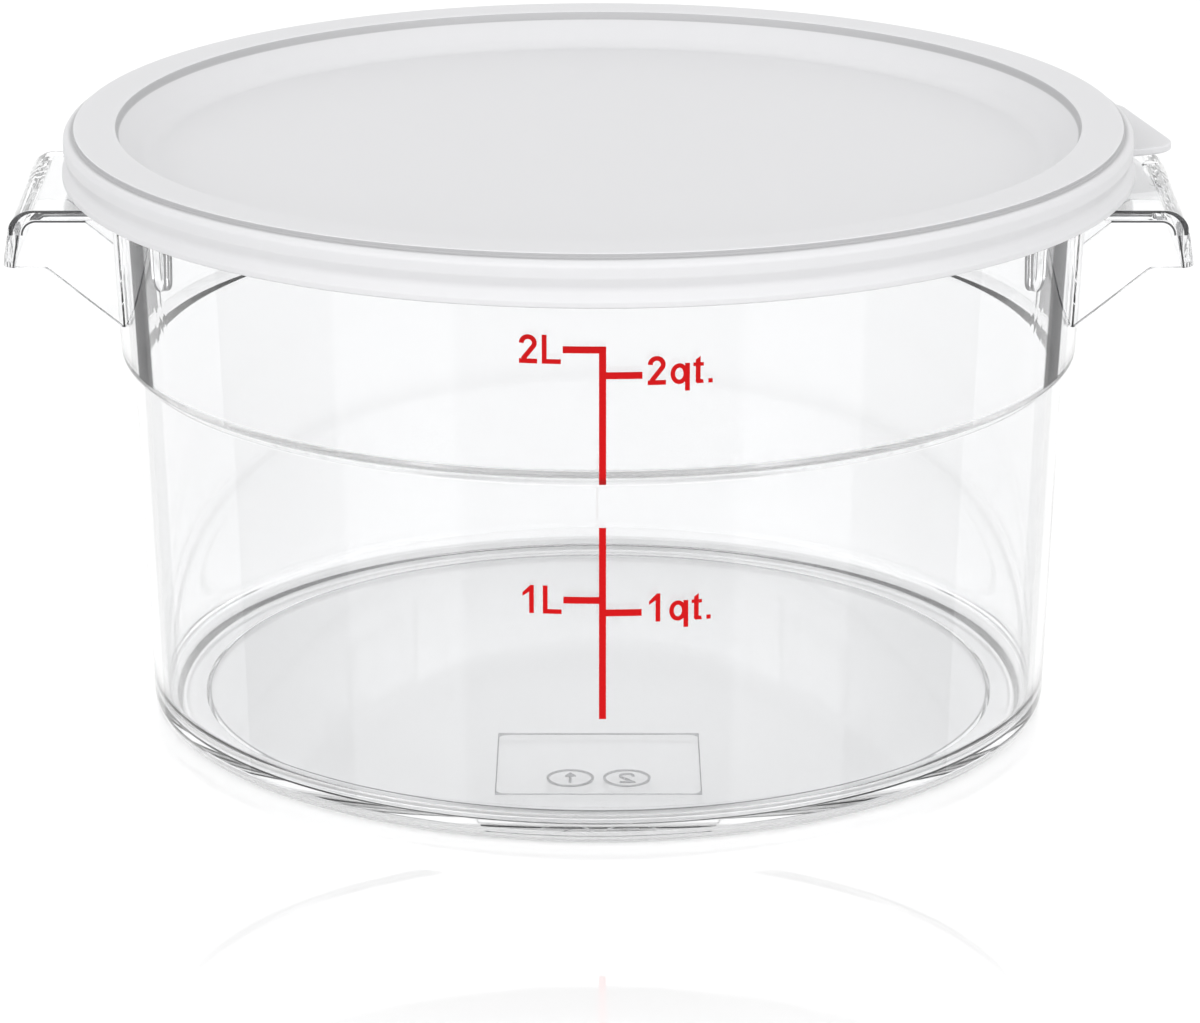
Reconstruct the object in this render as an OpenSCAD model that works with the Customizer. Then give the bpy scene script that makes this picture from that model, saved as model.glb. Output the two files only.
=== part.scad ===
/* [Container] */
// Outer diameter of the lower wall, at the table
base_d = 169; // [150:0.2:190]
// Height of the container from the table to the top of its rim
container_h = 110; // [100:0.5:140]
// Height at which the wall starts to step out
shoulder_z = 67.8; // [50:0.2:74]
// How far the wall steps out at the shoulder
shoulder_w = 2.3; // [1:0.1:5]
// Height of the sloping underside of the shoulder
shoulder_h = 1.8; // [1.2:0.1:4]
// Draft of the wall below the shoulder, in degrees
lower_draft = 2; // [0.5:0.1:3]
// Draft of the wall above the shoulder, in degrees
upper_draft = 2.6; // [0.5:0.1:3.5]
// Thickness of the wall below the shoulder
lower_wall = 2.4; // [1.6:0.1:3]
// Thickness of the wall above the shoulder
upper_wall = 2.4; // [1.8:0.1:3]
// Thickness of the floor inside the foot ring
floor_t = 2.2; // [1.6:0.1:4]
// Radius of the rounded bottom corner, outside
bottom_corner_r = 3; // [1.5:0.1:5]
// Radius of the cove between floor and wall, inside
floor_cove_r = 4.5; // [2:0.1:8]
// Width of the foot ring that the container stands on
foot_w = 6.6; // [4:0.1:12]
// How far the underside is raised inside the foot ring
foot_h = 0.6; // [0.4:0.1:1.2]
// How far the rim stands out from the wall
rim_w = 4.8; // [3:0.1:8]
// Thickness of the rim
rim_t = 2.6; // [1.6:0.1:4]
// How far the mouth flares out to take the lid
flare_w = 2.6; // [1.8:0.1:2.8]
// Height of the flare
flare_h = 3.6; // [3:0.1:5]

/* [Handles] */
// Width of a handle along the rim
handle_w = 45; // [34:1:60]
// How far a handle reaches out from the wall
handle_reach = 16.6; // [12:0.2:26]
// How far below the lid's skirt the top of a handle lies
handle_gap = 3; // [0.6:0.1:5]
// Thickness of a handle's top plate, lip and webs
handle_t = 2; // [1.4:0.1:3]
// Radius of the bend between a handle's top plate and its lip
handle_bend_r = 4.6; // [3.4:0.2:7]
// Height of a handle's lip, measured from the top of the handle
lip_h = 10.8; // [8:0.2:14]
// How far the lip leans outwards at its bottom edge
lip_lean = 1.8; // [0:0.1:3]
// How far down the wall a side web runs, measured from the top of the handle
web_drop = 22; // [16:0.5:28]
// Length of the level stretch of a web's lower edge, measured from the lip
web_flat = 8; // [5:0.2:10]
// Radius of the upright corners between web and lip
handle_corner_r = 2.6; // [2.2:0.1:5]
// Length of the thumb notch in the right handle, next to the lid's tab
thumb_l = 22; // [12:0.5:26]
// How far the thumb notch reaches in from the outer edge
thumb_w = 5; // [3:0.1:7]
// Depth of the thumb notch
thumb_h = 0.6; // [0.3:0.1:1]

/* [Stacking lugs] */
// Width of a stacking lug
lug_w = 4.7; // [3:0.1:8]
// How far a lug stands in from the wall
lug_depth = 1.6; // [1:0.1:2.6]
// Length of a lug
lug_l = 11; // [8:0.5:16]
// Distance from the top of the rim to the bottom of a lug
lug_drop = 20; // [18:0.5:26]
// Angle of each lug from the handles' line
lug_angle = 28; // [22:1:45]

/* [Moulded marks in the underside] */
// Width of the sunk panel
panel_w = 36.6; // [28:0.2:44]
// Length of the sunk panel, front to back
panel_l = 31; // [24:0.2:36]
// Distance from the axis to the middle of the panel
panel_y = 47.5; // [40:0.1:50]
// Radius of the panel's corners
panel_corner_r = 1.6; // [0.5:0.1:3]
// Depth of the panel, and height of the marks in it
panel_h = 0.25; // [0.2:0.05:0.4]
// Outer diameter of each ring mark
mark_d = 8.6; // [6:0.1:10]
// Distance between the centres of the two ring marks
mark_pitch = 10.2; // [10.2:0.1:14]
// Distance from the front edge of the panel to the ring marks' centres
mark_inset = 8.1; // [6:0.1:12]
// Width of the lines in the marks
mark_line = 0.5; // [0.3:0.05:0.8]

/* [Lid] */
// Thickness of the lid's skin
lid_t = 1.6; // [1.2:0.1:2]
// Height of the lid's skirt, from the top face down
skirt_h = 9.2; // [8:0.1:11]
// Thickness of the skirt above its waist
skirt_t = 2.1; // [1.8:0.1:3]
// How far the skirt spreads from top to bottom, outside
skirt_flare = 0.3; // [0:0.1:1]
// How far the skirt's inner face opens towards its foot
skirt_lead = 0.8; // [0.4:0.1:1]
// Depth of the waist round the outside of the skirt
waist_w = 0.7; // [0.3:0.05:0.8]
// Width of the round shoulder outside the lid's flat ring
lid_shoulder_w = 1.95; // [1.7:0.05:3]
// How far the round shoulder lies below the flat ring
lid_shoulder_h = 1; // [0.9:0.05:1.4]
// How far the middle of the lid is sunk
recess_h = 6; // [4:0.1:8]
// Width of the sloping cove between the ring and the sunk middle
recess_cove_w = 5.7; // [4:0.1:8]
// Radius at the foot of the cove
recess_cove_r = 6; // [4:0.1:8]
// Height of the steep face at the top of the cove
recess_wall_h = 1.4; // [0.8:0.1:2]
// Clearance between the bead in the lid's skirt and the rim
lid_clear = 0.35; // [0.3:0.05:0.8]
// Clearance between the lid's sunk middle and the mouth
plug_clear = 0.35; // [0.3:0.05:0.8]
// Gap between the lid's underside and the top of the rim
seat_gap = 0.3; // [0.2:0.05:0.6]
// How far the bead stands in from the skirt
bead_h = 0.7; // [0.4:0.05:1]
// How far the pull tab reaches out from the skirt
tab_reach = 8; // [5:0.1:12]
// Width of the pull tab along the skirt
tab_w = 40; // [24:0.5:50]
// Radius of the pull tab's outer corners
tab_corner_r = 6; // [3:0.1:8]
// How much narrower the tab gets at each end, outwards
tab_taper = 2; // [0:0.1:4]
// Angle from the right handle's line to the middle of the tab
tab_turn = 13.5; // [0:0.5:20]
// Thickness of the pull tab
tab_t = 1.4; // [1:0.1:2]
// How far the pull tab lies above the foot of the skirt
tab_rise = 0.5; // [0.4:0.1:2]

/* [Printed scale] */
// Thickness of the printed ink
ink_t = 0.12; // [0.08:0.01:0.3]
// Distance from the top of the rim down to the 2 litre mark
scale_drop = 17; // [10:0.1:30]
// How far right of the middle the upright line stands
scale_x = 0.7; // [0:0.1:3]
// Width of the lines
line_w = 1.24; // [0.8:0.02:2]
// Length of a tick beside the upright line
tick_l = 6.2; // [4:0.1:10]
// Height of the figures
figure_h = 5.2; // [4:0.1:7]
// Width of the figures' strokes
stroke_w = 0.84; // [0.7:0.02:1.2]
// Distance between a litre tick and its figures
litre_gap = 0.3; // [0.2:0.05:2]
// Distance between a quart tick and its figures
quart_gap = 0.9; // [0.5:0.1:2]
// How far the middle of the quart figures lies above their tick
quart_rise = 0.8; // [0:0.1:2]
// Height of the bottom end of the lower upright line
scale_foot_z = 24.3; // [15:0.1:30]
// How far the lower upright line stays below the shoulder
scale_break = 7.9; // [4:0.1:12]

/* [Hidden] */
$fn = 96;

QUART = 0.95;       // litres in a quart, as printed scales round it
arc_steps = 6;      // straight pieces in each large rounded corner of an outline
ink_gap = 0.02;     // air between the wall and the ink
print_margin = 2;   // plain wall between the print and the next edge
overlap = 1;        // how far joined shapes reach into each other
bead_half_h = 1.2;
waist_half_h = 2;
waist_r = 1.6;
recess_lean = 0.4;  // how far the steep face leans
letter_l_w = 0.63;  // width of the letter L, as a share of its height
edge_r = 0.8;       // radius of most rounded edges
fine_edge_r = 0.4;  // radius of the small ones
shoulder_in_r = 0.6;
shoulder_out_r = 1.4;
flare_r = 3;

// Outer wall: radius at a height below and above the shoulder
shoulder_top_z = shoulder_z + shoulder_h;
function lower_r(z) = base_d / 2 + z * tan(lower_draft);
function upper_r(z) = lower_r(shoulder_z) + shoulder_w + (z - shoulder_top_z) * tan(upper_draft);

// Inner wall and floor
floor_z = foot_h + floor_t;
inner_floor_r = lower_r(floor_z) - lower_wall;
inner_shoulder_r = lower_r(shoulder_z) - lower_wall;
inner_step_r = upper_r(shoulder_top_z) - upper_wall;
foot_in_r = base_d / 2 - bottom_corner_r - foot_w;

// Rim and mouth
rim_r = upper_r(container_h) + rim_w;
rim_foot_z = container_h - rim_t;
mouth_r = upper_r(container_h) - upper_wall + flare_w;
flare_z = container_h - flare_h;
throat_r = upper_r(flare_z) - upper_wall;

// Lid
lid_under_z = container_h + seat_gap;
lid_top_z = lid_under_z + lid_t;
skirt_foot_z = lid_top_z - skirt_h;
skirt_in_r = rim_r + lid_clear + bead_h;
skirt_r = skirt_in_r + skirt_t;
skirt_foot_r = skirt_r + skirt_flare;
ring_r = skirt_r - lid_shoulder_w;
lid_shoulder_z = lid_top_z - lid_shoulder_h;
recess_r = mouth_r - plug_clear - lid_t;
recess_z = lid_top_z - recess_h;
bead_z = rim_foot_z - lid_clear - bead_half_h;
tab_r = skirt_foot_r + tab_reach;
tab_z = skirt_foot_z + tab_rise;

// Handles
handle_top_z = skirt_foot_z - handle_gap;
handle_out = upper_r(handle_top_z) + handle_reach;
lip_foot_z = handle_top_z - lip_h;
lip_out = handle_out + lip_lean;
web_foot_z = handle_top_z - web_drop;
thumb_y = 5; // middle of the thumb notch, towards the tab

// Stacking lugs
lug_foot_z = container_h - lug_drop;
lug_in_r = upper_r(lug_foot_z) - upper_wall - lug_depth;

// Scale: evenly divided from the table up to its 2 litre mark
scale_top_z = container_h - scale_drop;
function litre_z(n) = scale_top_z * n / 2;
function quart_z(n) = litre_z(n) * QUART;

// An outline with rounded corners, from points that each hold a corner radius: [x, y, r]
function unit(v) = v / norm(v);
function flat(p) = [p[0], p[1]];
function turn(a) = a > 180 ? a - 360 : a < -180 ? a + 360 : a;
function steps_for(r) = r < 1 ? 2 : r < 2 ? 4 : arc_steps;
function corner(a, b, c) =
    b[2] == 0 ? [flat(b)] :
    let (p = flat(b), u = unit(flat(a) - p), v = unit(flat(c) - p), half = acos(u * v) / 2,
         start = p + u * b[2] / tan(half), end = p + v * b[2] / tan(half),
         centre = p + unit(u + v) * b[2] / sin(half),
         from = atan2(start[1] - centre[1], start[0] - centre[0]),
         sweep = turn(atan2(end[1] - centre[1], end[0] - centre[0]) - from))
    arc(centre, b[2], from, from + sweep, steps_for(b[2]));
function rounded(points) =
    let (n = len(points))
    [for (i = [0 : n - 1]) each corner(points[(i + n - 1) % n], points[i], points[(i + 1) % n])];

// A path moved to its left by d, and the band between two such paths
function left_of(a, b) = let (v = unit(b - a)) [-v[1], v[0]];
function beside(path, d) =
    let (n = len(path))
    [for (i = [0 : n - 1])
        let (u = left_of(path[max(i - 1, 0)], path[max(i, 1)]),
             v = left_of(path[min(i, n - 2)], path[min(i + 1, n - 1)]))
        path[i] + (u + v) * d / (1 + u * v)];
function reversed(list) = [for (i = [len(list) - 1 : -1 : 0]) list[i]];
function band(path, d0, d1) = concat(beside(path, d0), reversed(beside(path, d1)));
function with_r(path, radii) = [for (i = [0 : len(path) - 1]) [path[i][0], path[i][1], radii[i]]];
function arc(c, r, from, to, steps = 12) =
    [for (i = [0 : steps])
        let (a = from + (to - from) * i / steps) c + r * [cos(a), sin(a)]];

// CONTAINER

container_outline = [
    [0, foot_h, 0],
    [foot_in_r - foot_h, foot_h, 0],
    [foot_in_r, 0, 0],
    [base_d / 2, 0, bottom_corner_r],
    [lower_r(shoulder_z), shoulder_z, shoulder_in_r],
    [upper_r(shoulder_top_z), shoulder_top_z, shoulder_out_r],
    [upper_r(rim_foot_z), rim_foot_z, edge_r],
    [rim_r, rim_foot_z, edge_r],
    [rim_r, container_h, edge_r],
    [mouth_r, container_h, fine_edge_r],
    [throat_r, flare_z, flare_r],
    [inner_step_r, shoulder_top_z + 1, edge_r],
    [inner_shoulder_r, shoulder_z, shoulder_out_r],
    [inner_floor_r, floor_z, floor_cove_r],
    [0, floor_z, 0]
];

// All that lies inside the middle of the wall's thickness
module inside_wall() {
    rotate_extrude() polygon([
        [0, 0],
        [lower_r(0) - lower_wall / 2, 0],
        [lower_r(shoulder_z) - lower_wall / 2, shoulder_z],
        [upper_r(shoulder_top_z) - upper_wall / 2, shoulder_top_z],
        [upper_r(container_h) - upper_wall / 2, container_h],
        [0, container_h]
    ]);
}

// A solid whose side view is the 2D shape given, as wide as a handle and more
module side_view() {
    rotate([90, 0, 0]) linear_extrude(handle_w + 2 * overlap, center = true) children();
}

// A handle's skin moved inwards by inset: level top, bend, leaning front and upright sides
module handle_form(inset) {
    width = handle_w - 2 * inset;
    corner_r = handle_corner_r - min(inset, handle_corner_r - 0.6);
    foot = web_foot_z - overlap * (inset > 0 ? 2 : 1);
    front_lean = lip_lean / lip_h;
    intersection() {
        side_view() polygon(rounded([
            [0, handle_top_z - inset, 0],
            [handle_out - inset, handle_top_z - inset, handle_bend_r - inset],
            [handle_out - inset + front_lean * (handle_top_z - foot), foot, 0],
            [0, foot, 0]
        ]));
        translate([0, 0, foot]) linear_extrude(web_drop + 4 * overlap) polygon(rounded([
            [0, -width / 2, 0],
            [lip_out - inset, -width / 2, corner_r],
            [lip_out - inset, width / 2, corner_r],
            [0, width / 2, 0]
        ]));
    }
}

// All that lies above the lower edge of a web: level behind the lip, then down to the wall
module above_web_edge() {
    side_view() polygon(rounded([
        [0, web_foot_z, 0],
        [upper_r(web_foot_z) - upper_wall, web_foot_z, 0],
        [lip_out - web_flat, lip_foot_z, 2],
        [lip_out + overlap, lip_foot_z, 0],
        [lip_out + overlap, handle_top_z + overlap, 0],
        [0, handle_top_z + overlap, 0]
    ]));
}

// A handle: a tray turned upside down, with a lip in front and a web at each end
module handle() {
    difference() {
        intersection() {
            handle_form(0);
            above_web_edge();
        }
        handle_form(handle_t);
        inside_wall();
    }
}

module thumb_notch() {
    translate([handle_out - thumb_w, thumb_y - thumb_l / 2, handle_top_z - thumb_h])
        linear_extrude(thumb_h + overlap) polygon(rounded([
            [0, 0, thumb_w * 0.9],
            [thumb_w + lip_lean + overlap, 0, 0],
            [thumb_w + lip_lean + overlap, thumb_l, 0],
            [0, thumb_l, thumb_w * 0.9]
        ]));
}

// A stacking lug: a rib with round ends on the inner face of the wall
module stacking_lug() {
    translate([lug_in_r, 0, lug_foot_z + lug_w / 2]) rotate([90, 0, 90])
        linear_extrude(lug_depth + upper_wall * 0.7) union() {
            circle(d = lug_w);
            translate([-lug_w / 2, 0]) square([lug_w, lug_l - lug_w]);
            translate([0, lug_l - lug_w]) circle(d = lug_w);
        }
}

// Ring with twelve ticks and a pointer, as a moulder's date mark
module date_mark() {
    difference() {
        circle(d = mark_d);
        circle(d = mark_d - 2 * mark_line);
    }
    for (i = [0 : 11]) rotate(i * 30)
        translate([mark_d / 2 - mark_line - 0.8, -mark_line / 4]) square([1, mark_line / 2]);
    circle(d = 2 * mark_line);
    translate([-mark_line / 2, 0]) square([mark_line, mark_d / 2 - 1.8]);
}

// Ring with a cavity number
module cavity_mark() {
    difference() {
        circle(d = mark_d);
        circle(d = mark_d - 2 * mark_line);
    }
    translate([-mark_d * 0.14, -mark_d * 0.25]) figure_2(mark_d * 0.5, mark_line);
}

// The sunk panel, less the marks that stand in it
module mark_panel() {
    translate([-panel_w / 2, -panel_y - panel_l / 2, foot_h - overlap])
        linear_extrude(panel_h + overlap) difference() {
            polygon(rounded([
                [0, 0, panel_corner_r],
                [panel_w, 0, panel_corner_r],
                [panel_w, panel_l, panel_corner_r],
                [0, panel_l, panel_corner_r]
            ]));
            translate([(panel_w - mark_pitch) / 2, mark_inset]) mirror([1, 0]) date_mark();
            translate([(panel_w + mark_pitch) / 2, mark_inset]) mirror([1, 0]) cavity_mark();
        }
}

module container() {
    color([0.93, 0.95, 0.96, 0.4]) difference() {
        union() {
            rotate_extrude() polygon(rounded(container_outline));
            for (side = [0, 180]) rotate([0, 0, side]) handle();
            for (x = [0, 1], y = [0, 1]) mirror([x, 0, 0]) mirror([0, y, 0])
                rotate([0, 0, lug_angle]) stacking_lug();
        }
        thumb_notch();
        mark_panel();
    }
}

// LID

// Upper face of the lid from its middle to the edge of its flat ring, with sharp corners
lid_face = [
    [0, recess_z],
    [recess_r - recess_cove_w, recess_z],
    [recess_r - recess_lean, lid_top_z - recess_wall_h],
    [recess_r, lid_top_z],
    [ring_r, lid_top_z]
];
lid_under = beside(lid_face, -lid_t);
lid_outline = concat(
    with_r(lid_face, [0, recess_cove_r, edge_r, edge_r, fine_edge_r]),
    [
        [ring_r, lid_shoulder_z, fine_edge_r],
        [skirt_r, lid_shoulder_z, lid_shoulder_w * 0.7],
        [skirt_r, bead_z + waist_half_h, waist_r],
        [skirt_r - waist_w, bead_z, waist_r],
        [skirt_foot_r, bead_z - waist_half_h, edge_r],
        [skirt_foot_r, skirt_foot_z, fine_edge_r],
        [skirt_in_r + skirt_lead, skirt_foot_z, fine_edge_r],
        [skirt_in_r, lid_under_z, edge_r]
    ],
    reversed(with_r([for (i = [0 : 3]) lid_under[i]], [0, recess_cove_r + 1, edge_r, fine_edge_r]))
);

// A rib inside the skirt, behind the waist, that snaps under the rim
module lid_bead() {
    root_r = skirt_in_r + skirt_t / 2 - waist_w / 4;
    rotate_extrude() polygon(rounded([
        [rim_r + lid_clear, bead_z, fine_edge_r],
        [root_r, bead_z - bead_half_h, 0],
        [root_r, bead_z + bead_half_h, 0]
    ]));
}

module pull_tab() {
    root_r = skirt_foot_r - skirt_t / 2;
    rotate([0, 0, tab_turn]) difference() {
        translate([0, 0, tab_z]) linear_extrude(tab_t) polygon(rounded([
            [root_r - tab_w / 10, -tab_w / 2, 0],
            [tab_r, -tab_w / 2 + tab_taper, tab_corner_r],
            [tab_r, tab_w / 2 - tab_taper, tab_corner_r],
            [root_r - tab_w / 10, tab_w / 2, 0]
        ]));
        translate([0, 0, tab_z - overlap]) cylinder(r = root_r, h = tab_t + 2 * overlap);
    }
}

module lid() {
    color([0.93, 0.93, 0.94]) union() {
        rotate_extrude() polygon(rounded(lid_outline));
        lid_bead();
        pull_tab();
    }
}

// PRINTED SCALE

// Figures are drawn h high from their baseline, with strokes s wide
module figure_1(h, s) {
    left = 0.22 * h;
    polygon([
        [left, 0],
        [left + s, 0],
        [left + s, h],
        [left + 0.25 * s, h],
        [0, 0.73 * h],
        [0, 0.6 * h],
        [left, 0.76 * h]
    ]);
}

module figure_2(h, s) {
    r = 0.295 * h - s / 2;
    middle = [0.295 * h, h - s / 2 - r];
    polygon(band(concat(arc(middle, r, 182, -25), [[0.8 * s, 0.9 * s]]), -s / 2, s / 2));
    square([0.6 * h, s]);
    polygon([[0, 0], [1.6 * s, 0], [1.6 * s, s], [1.2 * s, 1.25 * s], [0.3 * s, s]]);
}

module letter_l(h, s) {
    square([s, h]);
    square([letter_l_w * h, s]);
}

module letter_q(h, s) {
    x_h = 0.72 * h;
    bowl_w = 0.58 * h;
    translate([bowl_w / 2, x_h / 2]) difference() {
        scale([bowl_w, x_h]) circle(d = 1, $fn = 48);
        scale([bowl_w - 1.9 * s, x_h - 1.9 * s]) circle(d = 1, $fn = 48);
    }
    translate([0.64 * h - s, -0.24 * h]) square([s, x_h + 0.24 * h]);
}

module letter_t(h, s) {
    left = 0.08 * h;
    polygon([
        [left, 0.3 * s],
        [left + 0.3 * s, 0],
        [0.35 * h, 0],
        [0.33 * h, 0.75 * s],
        [left + s, 0.85 * s],
        [left + s, 0.94 * h],
        [left, 0.82 * h]
    ]);
    translate([0, 0.6 * h]) square([0.35 * h, 0.75 * s]);
}

// The figure 1 is narrower than the 2 and stands in the middle of the same space
module digit(n, h, s) {
    if (n == 1) translate([0.07 * h, 0]) figure_1(h, s);
    else figure_2(h, s);
}

// Figures to the left of the upright line end at the tick; those to the right start there
module litre_figures(n) {
    h = figure_h;
    letter_x = -line_w / 2 - tick_l - litre_gap - letter_l_w * h;
    translate([letter_x - 0.75 * h, litre_z(n) - h / 2]) digit(n, h, stroke_w);
    translate([letter_x, litre_z(n) - h / 2]) letter_l(h, stroke_w);
}

module quart_figures(n) {
    h = figure_h;
    translate([line_w / 2 + tick_l + quart_gap, quart_z(n) + quart_rise - h / 2]) {
        digit(n, h, stroke_w);
        translate([0.75 * h, 0]) letter_q(h, stroke_w);
        translate([1.5 * h, 0]) letter_t(h, stroke_w);
        translate([2 * h, 0]) square(0.9 * stroke_w);
    }
}

// Ticks on both sides of the upright line: litres left, quarts right
module ticks(n) {
    translate([-line_w / 2 - tick_l, litre_z(n) - line_w / 2]) square([tick_l + line_w / 2, line_w]);
    translate([0, quart_z(n) - line_w / 2]) square([tick_l + line_w / 2, line_w]);
}

// A printed shape, drawn flat as seen from the front, laid on a stretch of the outer wall
module print_on(wall_line) {
    color([0.89, 0.07, 0.07]) intersection() {
        rotate_extrude() polygon(band(wall_line, -ink_gap, -ink_gap - ink_t));
        translate([scale_x, 0, 0]) rotate([90, 0, 0]) linear_extrude(2 * rim_r) children();
    }
}

// Stretches of the outer wall that carry the print
shoulder_foot = corner(
    [lower_r(0), 0],
    [lower_r(shoulder_z), shoulder_z, shoulder_in_r],
    [upper_r(shoulder_top_z), shoulder_top_z]
);
shoulder_round = corner(
    [lower_r(shoulder_z), shoulder_z],
    [upper_r(shoulder_top_z), shoulder_top_z, shoulder_out_r],
    [upper_r(container_h), container_h]
);
print_top_z = rim_foot_z - print_margin;
print_foot_z = bottom_corner_r + print_margin;
lower_print_top_z = shoulder_z - print_margin;
upper_line = concat(
    [shoulder_foot[len(shoulder_foot) - 1]],
    shoulder_round,
    [[upper_r(print_top_z), print_top_z]]
);
lower_line = [
    [lower_r(print_foot_z), print_foot_z],
    [lower_r(lower_print_top_z), lower_print_top_z]
];

module scale_upper_lines() {
    print_on(upper_line) union() {
        translate([-line_w / 2, shoulder_z]) square([line_w, litre_z(2) + line_w / 2 - shoulder_z]);
        ticks(2);
    }
}

module scale_lower_lines() {
    print_on(lower_line) union() {
        translate([-line_w / 2, scale_foot_z])
            square([line_w, shoulder_z - scale_break - scale_foot_z]);
        ticks(1);
    }
}

module figures_2_litre() { print_on(upper_line) litre_figures(2); }
module figures_2_quart() { print_on(upper_line) quart_figures(2); }
module figures_1_litre() { print_on(lower_line) litre_figures(1); }
module figures_1_quart() { print_on(lower_line) quart_figures(1); }

container();
lid();
scale_upper_lines();
scale_lower_lines();
figures_2_litre();
figures_2_quart();
figures_1_litre();
figures_1_quart();
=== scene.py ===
import math

import bmesh
import bpy
from bpy.props import FloatProperty, FloatVectorProperty, IntProperty, PointerProperty
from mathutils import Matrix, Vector


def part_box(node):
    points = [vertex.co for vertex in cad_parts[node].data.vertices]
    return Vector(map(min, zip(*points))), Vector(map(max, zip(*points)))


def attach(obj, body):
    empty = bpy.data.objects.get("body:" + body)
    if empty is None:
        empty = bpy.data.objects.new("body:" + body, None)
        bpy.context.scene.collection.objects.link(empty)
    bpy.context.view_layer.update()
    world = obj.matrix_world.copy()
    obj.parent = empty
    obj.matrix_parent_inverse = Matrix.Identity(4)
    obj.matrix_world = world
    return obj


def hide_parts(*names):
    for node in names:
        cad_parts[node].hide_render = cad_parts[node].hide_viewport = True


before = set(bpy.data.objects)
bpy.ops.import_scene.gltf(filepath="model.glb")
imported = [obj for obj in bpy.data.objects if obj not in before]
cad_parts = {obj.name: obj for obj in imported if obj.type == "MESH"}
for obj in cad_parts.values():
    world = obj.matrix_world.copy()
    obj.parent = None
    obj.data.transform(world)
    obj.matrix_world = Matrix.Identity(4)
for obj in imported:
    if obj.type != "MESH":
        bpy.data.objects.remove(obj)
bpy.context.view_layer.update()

bl_info = {
    "name": "Dough Proofing Container",
    "version": (1, 0, 0),
    "blender": (4, 5, 0),
    "location": "3D View > Sidebar > Container",
    "description": "Builds a clear stepped food container with a white lid and a printed scale",
    "category": "Add Mesh",
}

MM = 0.001
TABLE_HALF = 8
TABLE_THICK = 20 * MM
TABLE_GAP = 0.05 * MM  # keeps the table's face off the container's foot
EDGE_LINE = 0.35 * MM  # width of the fine dark lines painted as shade along moulded edges
SLACK = 0.1 * MM  # room past an edge in a mask
STRIP_SLANT = (0.673, 0.761)  # how slanted the upper wall is seen where its dark strips are painted as shade
CORNER_SHADE = 0.35  # how much of the fine lines' tint the bottom corner gets, as painted shade
LID_SHADE = 0.66  # painted shade in the lid's two corners, as a part of its white
MIRROR_SHARE = 0.24  # how much the table mirrors near the container
MIRROR_FADE = (0.1, 0.22)  # distances from the axis between which the mirror fades
CARD_LEVEL = (-0.45, -0.27)  # heights of the grey cards, as parts of a direction
FRONT_GAP = (0.42, 0.83)  # where the surroundings are lighter between the cards in front
REAR_CARD = (-0.89, -0.74)  # where a darker card stands behind the container
BOUNCES = 32  # light travels far inside the clear base
INK_NODES = (
    "scale_upper_lines",
    "scale_lower_lines",
    "figures_2_litre",
    "figures_2_quart",
    "figures_1_litre",
    "figures_1_quart",
)


# Sizes and colours


def length(name, description, default):
    return FloatProperty(
        name=name, description=description, default=default, min=0, unit="LENGTH", precision=5
    )


def angle(name, description, degrees):
    return FloatProperty(
        name=name, description=description, default=math.radians(degrees), unit="ROTATION"
    )


def colour(name, description, rgb):
    return FloatVectorProperty(
        name=name, description=description, default=rgb, min=0, max=1, subtype="COLOR"
    )


def strength(name, description, default):
    return FloatProperty(name=name, description=description, default=default, min=0)


container_low, container_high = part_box("container")
lid_low, lid_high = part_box("lid")


class ContainerSizes(bpy.types.PropertyGroup):
    base_r: length("Base radius", "Outer radius of the lower wall at the table", 84.5 * MM)
    height: length("Height", "From the table to the top of the rim", container_high.z)
    shoulder_z: length("Shoulder height", "Where the wall starts to step out", 67.8 * MM)
    shoulder_w: length("Shoulder width", "How far the wall steps out", 2.3 * MM)
    shoulder_h: length("Shoulder slope", "Height of the shoulder's underside", 1.8 * MM)
    lower_draft: angle("Lower draft", "Draft of the wall below the shoulder", 2)
    upper_draft: angle("Upper draft", "Draft of the wall above the shoulder", 2.6)
    wall: length("Wall", "Thickness of the wall", 2.4 * MM)
    floor: length("Floor", "Thickness of the floor inside the foot ring", 2.2 * MM)
    corner_r: length("Bottom corner", "Radius of the bottom corner, outside", 3 * MM)
    cove_r: length("Floor cove", "Radius between floor and wall, inside", 4.5 * MM)
    foot_w: length("Foot width", "Width of the foot ring", 6.6 * MM)
    foot_h: length("Foot height", "How far the underside is raised", 0.6 * MM)
    rim_w: length("Rim width", "How far the rim stands out", 4.8 * MM)
    rim: length("Rim thickness", "Thickness of the rim", 2.6 * MM)
    flare_w: length("Flare width", "How far the mouth flares out", 2.6 * MM)
    flare_h: length("Flare height", "Height of the flare", 3.6 * MM)
    facets: IntProperty(
        name="Facets", description="Flat faces round the container", default=288, min=24
    )


class HandleSizes(bpy.types.PropertyGroup):
    width: length("Width", "Width of a handle along the rim", 45 * MM)
    top_z: length("Top", "Height of a handle's top plate", 99.7 * MM)
    out: length("Reach", "Radius of the lip at the top of the handle", container_high.x - 1.8 * MM)
    lean: length("Lean", "How far the lip leans out at its bottom", 1.8 * MM)
    wall: length("Wall", "Thickness of plate, lip and webs", 2 * MM)
    bend_r: length("Bend", "Radius between top plate and lip", 4.6 * MM)
    lip: length("Lip", "Height of the lip", 10.8 * MM)
    drop: length("Web drop", "How far the webs run down the wall", 22 * MM)
    web_flat: length("Web flat", "Level stretch of a web's lower edge", 8 * MM)
    corner_r: length("Corner", "Radius between web and lip", 2.6 * MM)
    edge_r: length("Edge", "Rounding of all edges", 0.5 * MM)
    notch_l: length("Notch length", "Length of the thumb notch", 22 * MM)
    notch_w: length("Notch width", "Width of the thumb notch", 5 * MM)
    notch_h: length("Notch depth", "Depth of the thumb notch", 0.6 * MM)
    notch_y: length("Notch place", "Middle of the thumb notch, towards the tab", 5 * MM)


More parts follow.
